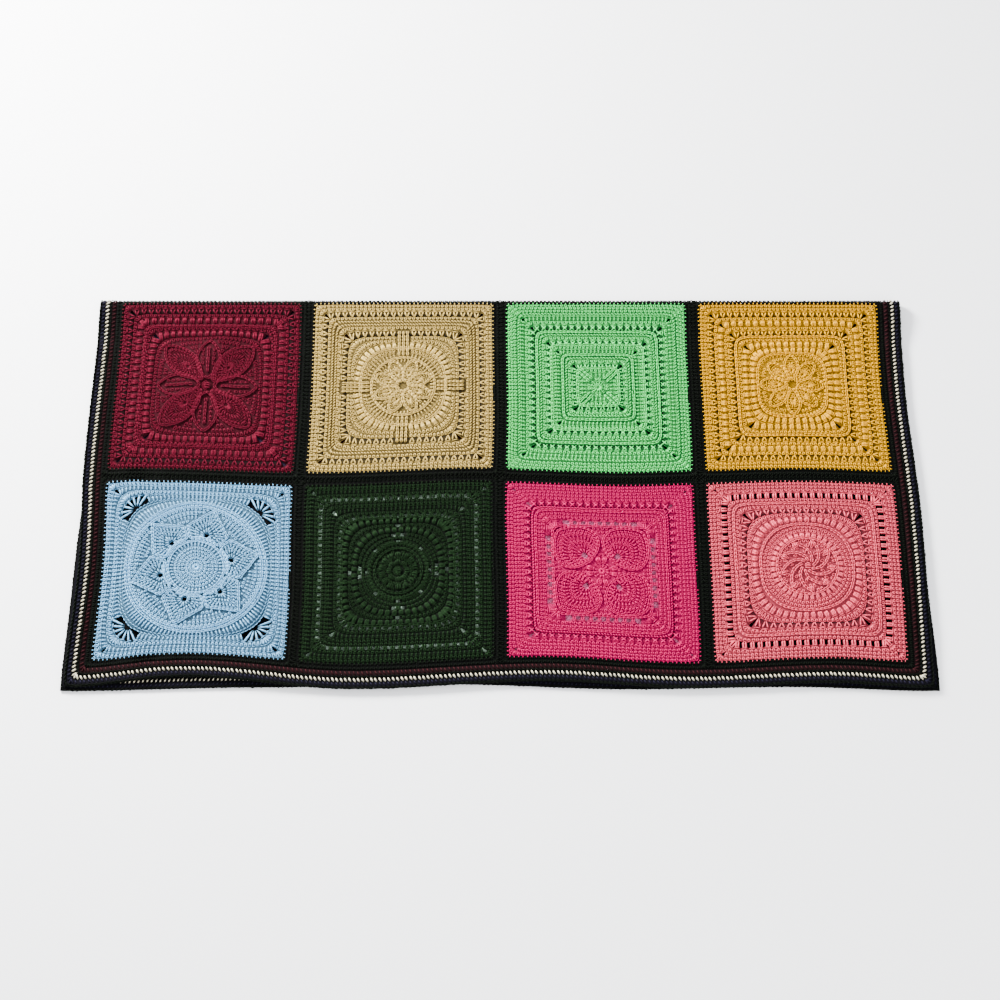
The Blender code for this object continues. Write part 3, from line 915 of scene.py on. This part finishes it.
DYES_AND_PAINTED_LIGHT = {
    "light_blue": Dye((0.26, 0.6, 1), 1.1, 0.1), "dark_green": Dye((0.007, 0.019, 0.0062), 1.7, 0.02),
    "hot_pink": Dye((0.62, 0, 0.112), 1, 0, 0.42), "salmon": Dye((0.96, 0.106, 0.165), 1, 0.02, 0.7),
    "maroon": Dye((0.108, 0.0055, 0.0175), 1.35, 0, 0.8), "tan": Dye((0.68, 0.47, 0.132), 1.12, 0.08),
    "mint": Dye((0.082, 0.76, 0.158), 1.12, 0.06, 0.85), "mustard": Dye((0.92, 0.45, 0), 1, 0, 0.75),
    "lilac": Dye((0.42, 0.27, 0.6), 1.15, 0.02), "rust": Dye((0.42, 0.075, 0.015), 1.2, 0.06),
    "teal": Dye((0.01, 0.16, 0.17), 1.3, 0.05), "sage": Dye((0.24, 0.3, 0.17), 1.15, 0.08),
    "navy": Dye((0.004, 0.006, 0.014), 1.5, 0.04), "cream": Dye((0.92, 0.86, 0.72), 1.05, 0.1),
    "lemon": Dye((0.86, 0.7, 0.24), 1.1, 0.1), "grey": Dye((0.035, 0.036, 0.04), 1.3, 0.08),
    # cream_back and lemon_back are painted light: the wrong sides seen through holes are pale green and pale
    # rose, as if lit by the green and pink squares above, not cream and lemon.
    "cream_back": Dye((0.74, 1, 0.76), 1, 0.1, 0.8), "lemon_back": Dye((1, 0.24, 0.48), 1, 0, 0.2),
    "black": Dye((0.0018, 0.0028, 0.0015), 2.6, 0), "edge_maroon": Dye((0.032, 0.007, 0.009), 1.5, 0.02),
    "edge_cream": Dye((0.9, 0.82, 0.58), 1.05, 0.1), "edge_violet": Dye((0.012, 0.0105, 0.022), 1.4, 0.02),
}


ROUGHNESS = 0.88
GLOSS = 0.05
FUZZ_ROUGHNESS = 0.45
FUZZ_TINT = (1.5, 0.1)    # the fuzz has the dye's colour times the first, plus the second
DARK_FIBRES = 0.80
HEATHER = {"Scale": 260, "Detail": 3}
FIBRES = {"Scale": 2400, "Detail": 2}
PLIES = {"Scale": 0.65, "Distortion": 0.6, "Detail": 1}
# painted shade in the grooves of the plies and a slight painted highlight on their crests
PLY_PAINTED_SHADES = {"To Min": 0.62, "To Max": 1.06}
PLY_RELIEF = {"Strength": 0.5, "Distance": 0.0004}
FIBRE_RELIEF = {"Strength": 0.35, "Distance": 0.00015}


def tinted(dye, times, plus=0.0):
    """A dye's colour, paler or darker."""
    return (*[min(1, c * times + plus) for c in dye.colour], 1)


def feed(tree, node, inputs):
    """Sets a node's inputs, each to a value or to what comes out of another node."""
    for name, given in inputs.items():
        if isinstance(given, bpy.types.NodeSocket):
            tree.links.new(given, node.inputs[name])
        else:
            node.inputs[name].default_value = given
    return node


def add_node(tree, kind, values=(), **feeds):
    """A new shader node and its inputs."""
    return feed(tree, tree.nodes.new(f"ShaderNode{kind}"), dict(values, **feeds))


def yarn_material(name):
    """Matt plied yarn: heathered colour, fine fibres, painted shade along the plies' twist and at each point,
    a little fuzz.
    """
    dye = DYES_AND_PAINTED_LIGHT[name]
    material = bpy.data.materials.new(f"yarn_{name}")
    material.use_nodes = True
    tree = material.node_tree
    shader = tree.nodes["Principled BSDF"]
    shader.inputs["Roughness"].default_value = ROUGHNESS
    shader.inputs["Specular IOR Level"].default_value = GLOSS
    shader.inputs["Sheen Weight"].default_value = dye.fuzz
    shader.inputs["Sheen Roughness"].default_value = FUZZ_ROUGHNESS
    shader.inputs["Sheen Tint"].default_value = tinted(dye, *FUZZ_TINT)

    spot = add_node(tree, "TexCoord").outputs["Object"]
    on_yarn, tone = add_node(tree, "UVMap"), add_node(tree, "Attribute")
    on_yarn.uv_map = "Yarn"
    tone.attribute_name = "tone"
    heather = add_node(tree, "TexNoise", HEATHER, Vector=spot)
    fibres = add_node(tree, "TexNoise", FIBRES, Vector=spot)
    plies = add_node(tree, "TexWave", PLIES, Vector=on_yarn.outputs["UV"])
    plies.bands_direction = "DIAGONAL"

    colours = add_node(tree, "Mix")
    colours.data_type = "RGBA"
    pair = {"A": tinted(dye, DARK_FIBRES), "B": tinted(dye, dye.light)}
    feed(tree, colours, {"Factor": heather.outputs["Fac"], **pair})
    shade = add_node(tree, "MapRange", PLY_PAINTED_SHADES, Value=plies.outputs["Fac"])
    # Painted shade: the points' value, deepened by the dye's depth and times the plies' painted shade,
    # darkens the colour.
    deepen = add_node(tree, "Math", {0: tone.outputs["Fac"], 1: dye.depth})
    deepen.operation = "POWER"
    darken = add_node(tree, "Math", {0: deepen.outputs["Value"], 1: shade.outputs["Result"]})
    darken.operation = "MULTIPLY"
    paint = add_node(tree, "VectorMath")
    paint.operation = "SCALE"
    feed(tree, paint, {0: colours.outputs["Result"], "Scale": darken.outputs["Value"]})
    relief = add_node(tree, "Bump", PLY_RELIEF, Height=plies.outputs["Fac"])
    fine = add_node(tree, "Bump", FIBRE_RELIEF, Height=fibres.outputs["Fac"], Normal=relief.outputs["Normal"])
    feed(tree, shader, {"Base Color": paint.outputs["Vector"], "Normal": fine.outputs["Normal"]})
    return material


# ----------------------- squares, joining and edging

# Rows from the top layer's hem over the fold; the last two lie underneath.
ROWS = [
    ["light_blue", "dark_green", "hot_pink", "salmon"],
    ["maroon", "tan", "mint", "mustard"],
    ["lilac", "rust", "teal", "sage"],
    ["navy", "cream", "lemon", "grey"],
]
TOP_ROWS = 2
UNDER_RELIEF = 0.62       # the stitches underneath are pressed flat by the surface
UNDER_THICK = 0.9
HIDDEN_PAINTED_SHADE = 0.04        # painted shade on their cloth's wrong side, dark where it shows through holes above
SEEN_THROUGH_HOLES = {"cream", "lemon"}     # they lie under the squares with rows of holes
THIN_BACK = -1.0          # the wrong side of these two's cloth, in millimetres from its middle
PAINTED_BACK_SHADE = 0.6    # its painted shade, and the largest share of it that random painted patches of shade take away
PAINTED_BACK_PATCHES = 0.9
INNER_PAINTED_LIGHT = 1.5          # painted light: the stitches on it are painted brighter than their yarn, against the shade in the holes
INNER_RAISED = 1.2        # a cloth's wrong side lies further from its middle than the right one
SQUARE_SEED = 100         # the seed of the first square's cloth
YARN_SEED = 50            # how far the seeds of a square's stitches, on both its sides, lie past its cloth's
BACK_SEED = 90


def middle_of(row, column):
    """The middle of a square on the open blanket."""
    return np.array([EDGING + (column + 0.5) * PITCH, EDGING + (row + 0.5) * PITCH])


def make_square(row, column, materials):
    """One square: its cloth, and its stitches and raised motifs."""
    name = ROWS[row][column]
    middle = middle_of(row, column)
    seed = SQUARE_SEED + row * COUNT + column
    base, yarn = Fabric(seed), Fabric(seed + YARN_SEED, coarse=row >= TOP_ROWS)
    palette = [materials[name]]
    back = None
    if name in SEEN_THROUGH_HOLES:
        # Its wrong side takes its own painted-light colour, tinted by the square above.
        palette.append(materials[f"{name}_back"])
        base.full = True
        back = Fabric(seed + BACK_SEED, coarse=True, wrong_side=True, full=True, spread=PAINTED_PATCHY_LIGHT)
    if row < TOP_ROWS:
        crochet(base, yarn, name, middle)
        raise_motifs(yarn, RAISED[name], middle)
    else:
        plain_square(base, yarn, back, middle)
    box = (middle - PITCH / 2, middle + PITCH / 2)
    stitches = [yarn.finished(f"stitches_{name}", palette[:1], box)]
    if back:
        stitches.append(back.finished(f"stitches_{name}_back", palette[1:], box))
    cloth = base.finished(f"cloth_{name}", palette, box)
    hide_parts(f"square_{name}")


def on_layers(start):
    """Which stitches lie on the top layer or the fold, and which underneath."""
    upper = start[:, 1] < FOLD_END
    return upper, ~upper


def finish_strips(kind, base, yarns, palette):
    """One cloth in place of all strips of a kind, and its stitches."""
    box = ((0, 0), (SIDE, SIDE))
    cloth = base.finished(f"cloth_{kind}", palette, box)
    stitches = [yarn.finished(f"stitches_{kind}_{name}", palette, box) for name, yarn in yarns.items()]
    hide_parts(*[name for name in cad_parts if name.startswith(f"{kind}_")])


JOINING_SEED = 300
JOINING_INNER = 0.0066    # how wide its first round is
JOINING_ROUNDS = Loop(SQUARE / 2, 50), Loop(SQUARE / 2 + JOINING_INNER, 60), Loop(PITCH / 2, 90)
JOINING_CUTS = 4
JOINING_FRONT = 0.7       # its cloth's right side, in millimetres from the middle
SEAM_WIDTH = 0.004
Layer = namedtuple("Layer", "pitch relief thick seam_relief seam_thick")
TOP_LAYER = Layer(LAST_PITCH, 1.0, 1.0, 0.8, 1.0)
UNDER_LAYER = Layer(0.0095, UNDER_RELIEF, UNDER_THICK, 0.42, 0.6)


def frame_square(base, yarn, layer, middle):
    """The black rounds about one square."""
    near, far = [ring(middle, loop, CORNER_STOPS) for loop in (JOINING_ROUNDS[0], Loop(PITCH / 2, SHARP))]
    shares = np.linspace(0, 1, JOINING_CUTS + 1)
    base.band([near + (far - near) * share for share in shares], high=JOINING_FRONT)
    for inner, outer in zip(JOINING_ROUNDS, JOINING_ROUNDS[1:]):
        start, end = stations(inner, outer, evenly(outer, layer.pitch))
        yarn.work(STITCHES["half"], middle + start, middle + end, layer.pitch, layer.relief, layer.thick)


def sew(layers, points):
    """A seam along points of the open blanket."""
    start, end = points[:-1], points[1:]
    for (yarn, layer), part in zip(layers, on_layers(start)):
        yarn.work(STITCHES["rope"], start[part], end[part], SEAM_WIDTH, layer.seam_relief, layer.seam_thick)


def make_joining(materials):
    """The black rounds about every square, and the seams between them."""
    base, top, under = Fabric(JOINING_SEED), Fabric(JOINING_SEED + 1), Fabric(JOINING_SEED + 2, coarse=True)
    layers = [(top, TOP_LAYER), (under, UNDER_LAYER)]
    for row in range(COUNT):
        for column in range(COUNT):
            yarn, layer = layers[row >= TOP_ROWS]
            frame_square(base, yarn, layer, middle_of(row, column))
    for line in range(1, COUNT):
        at = EDGING + line * PITCH
        across = np.array([(EDGING, at), (SIDE - EDGING, at)])
        for seam in (across, across[:, ::-1]):
            sew(layers, spaced(seam, LAST_PITCH))
    yarns = {"top": top, "under": under}
    finish_strips("joining", base, yarns, [materials["black"]])


# Rounds of the edging. Under is the dye of the cloth below, and reach is past the joining, in millimetres.
EdgeRound = namedtuple("EdgeRound", "dye under kind reach thick")
EDGE_ROUNDS = [
    EdgeRound("edge_maroon", "edge_maroon", "dash", 8, 0.9), EdgeRound("black", "black", "rope", 11.5, 0.8),
    EdgeRound("edge_cream", "black", "dash", 19, 1.2),
    EdgeRound("edge_violet", "edge_violet", "dash", 26, 0.9), EdgeRound("black", "black", "rope", 29.5, 0.9),
]
EDGE_DYES = ["edge_maroon", "black", "edge_cream", "edge_violet"]
EDGE_SHAPE = 140          # nearly true corners, a little rounded
EDGE_FRONT = 0.8          # its cloth's right side, in millimetres from the middle
EDGING_SEED = 400
RIM_INSET = 0.001         # how far inside the rim the chain round it lies, and how wide it is
RIM_WIDTH = 0.0035
RIM_RAISED = {"top": -2.4, "under": -2.7}     # in millimetres: it lies lower than a chain on the cloth
RIM_STEPS = 4000


def make_edging(materials):
    """The striped rounds along the sides of the whole blanket."""
    base, top, under = Fabric(EDGING_SEED), Fabric(EDGING_SEED + 1), Fabric(EDGING_SEED + 2, coarse=True)
    inner = Fabric(EDGING_SEED + 3, coarse=True, wrong_side=True)
    yarns = {"top": top, "under": under, "inner": inner}
    middle = np.array([SIDE / 2, SIDE / 2])
    reaches = [COUNT * PITCH / 2 + reach * MM for reach in [0] + [row.reach for row in EDGE_ROUNDS]]
    outlines = [ring(middle, Loop(reach, SHARP), FOLD_STOPS) for reach in reaches]
    # Both sides of the edging's cloth are painted dark: painted shade.
    base.band(outlines, [EDGE_DYES.index(row.under) for row in EDGE_ROUNDS], EDGE_FRONT, back_painted_shade=BASE_PAINTED_SHADE)
    loops = [Loop(reach, EDGE_SHAPE) for reach in reaches]
    for row, near, far in zip(EDGE_ROUNDS, loops, loops[1:]):
        work_edge(yarns, middle, near, far, row)
    work_rim(yarns, middle)
    palette, flat = [materials[dye] for dye in EDGE_DYES], (EDGING, 4 * (SIDE - EDGING))
    finish_strips("edging", base, yarns, palette)


def work_rim(yarns, middle):
    """The chain round the rim."""
    rim = Loop(SIDE / 2 - RIM_INSET, EDGE_SHAPE)
    points = spaced(middle + rim.at(np.linspace(0, rim.length, RIM_STEPS)), LAST_PITCH)
    start, end = points[:-1], points[1:]
    black = EDGE_DYES.index("black")
    for (name, raised), part in zip(RIM_RAISED.items(), on_layers(start)):
        yarns[name].work(STITCHES["link"], start[part], end[part], RIM_WIDTH, raised=raised, slot=black)


def work_edge(yarns, middle, inner, outer, row):
    """One striped round, its half underneath pressed flat. The wrong side shows only along the under hem."""
    run = evenly(outer, LAST_PITCH)
    pitch = outer.length / len(run)
    start, end = [middle + points for points in stations(inner, outer, run)]
    (upper, under), hem = on_layers(start), start[:, 1] > SIDE - EDGING
    slot, stitch = EDGE_DYES.index(row.dye), STITCHES[row.kind]
    pressed = pitch, UNDER_RELIEF, UNDER_THICK * row.thick, slot
    yarns["top"].work(stitch, start[upper], end[upper], pitch, 1, row.thick, slot)
    yarns["under"].work(stitch, start[under], end[under], *pressed)
    yarns["inner"].work(stitch, start[hem], end[hem], *pressed, raised=INNER_RAISED)


# ----------------------- surface, light and camera

CAMERA_TILT = 68          # degrees above the horizon
CAMERA_DISTANCE = 2.75
CAMERA_LENS = 60
AIM = (0.0, -0.02, 0.0)
FLOOR_HALF = 6.0
FLOOR_COLOUR = (0.88, 0.88, 0.88, 1)
FLOOR_ROUGHNESS = 0.9
Lamp = namedtuple("Lamp", "name location size power")
LAMPS = [Lamp("key", (-1.7, 1.5, 1.5), 0.8, 470), Lamp("fill", (1.6, -1.6, 1.8), 1.8, 60)]
SKY_COLOUR = (0.93, 0.95, 1.0, 1)
SKY_STRENGTH = 2.0


def make_stage():
    """A plain pale floor."""
    mesh = bpy.data.meshes.new("floor")
    corners = [(x * FLOOR_HALF, y * FLOOR_HALF, 0) for x, y in ((-1, -1), (1, -1), (1, 1), (-1, 1))]
    mesh.from_pydata(corners, [], [(0, 1, 2, 3)])
    material = bpy.data.materials.new("pale_floor")
    material.use_nodes = True
    shader = material.node_tree.nodes["Principled BSDF"]
    shader.inputs["Base Color"].default_value = FLOOR_COLOUR
    shader.inputs["Roughness"].default_value = FLOOR_ROUGHNESS
    mesh.materials.append(material)
    floor = add_object("floor", mesh)


def aimed(location):
    """The rotation that turns -Z from a place to the middle of the blanket."""
    return (Vector(AIM) - Vector(location)).to_track_quat("-Z", "Y").to_euler()


def make_lights_and_camera():
    """Soft square lamps above the blanket, a pale sky, and the camera above the hem."""
    for lamp in LAMPS:
        light = bpy.data.lights.new(lamp.name, "AREA")
        light.size, light.energy = lamp.size, lamp.power
        holder = add_object(lamp.name, light)
        holder.location = lamp.location
        holder.rotation_euler = aimed(lamp.location)
    world = bpy.data.worlds.new("studio")
    world.use_nodes = True
    sky = world.node_tree.nodes["Background"]
    sky.inputs["Color"].default_value = SKY_COLOUR
    sky.inputs["Strength"].default_value = SKY_STRENGTH
    bpy.context.scene.world = world
    tilt = math.radians(CAMERA_TILT)
    camera = add_object("camera", bpy.data.cameras.new("camera"))
    camera.data.lens = CAMERA_LENS
    camera.location = Vector(AIM) + CAMERA_DISTANCE * Vector((0, -math.cos(tilt), math.sin(tilt)))
    camera.rotation_euler = aimed(camera.location)
    bpy.context.scene.camera = camera


def main():
    """Makes every piece."""
    materials = {name: yarn_material(name) for name in DYES_AND_PAINTED_LIGHT}
    for row in range(COUNT):
        for column in range(COUNT):
            make_square(row, column, materials)
    make_joining(materials)
    make_edging(materials)
    make_stage()
    make_lights_and_camera()


main()
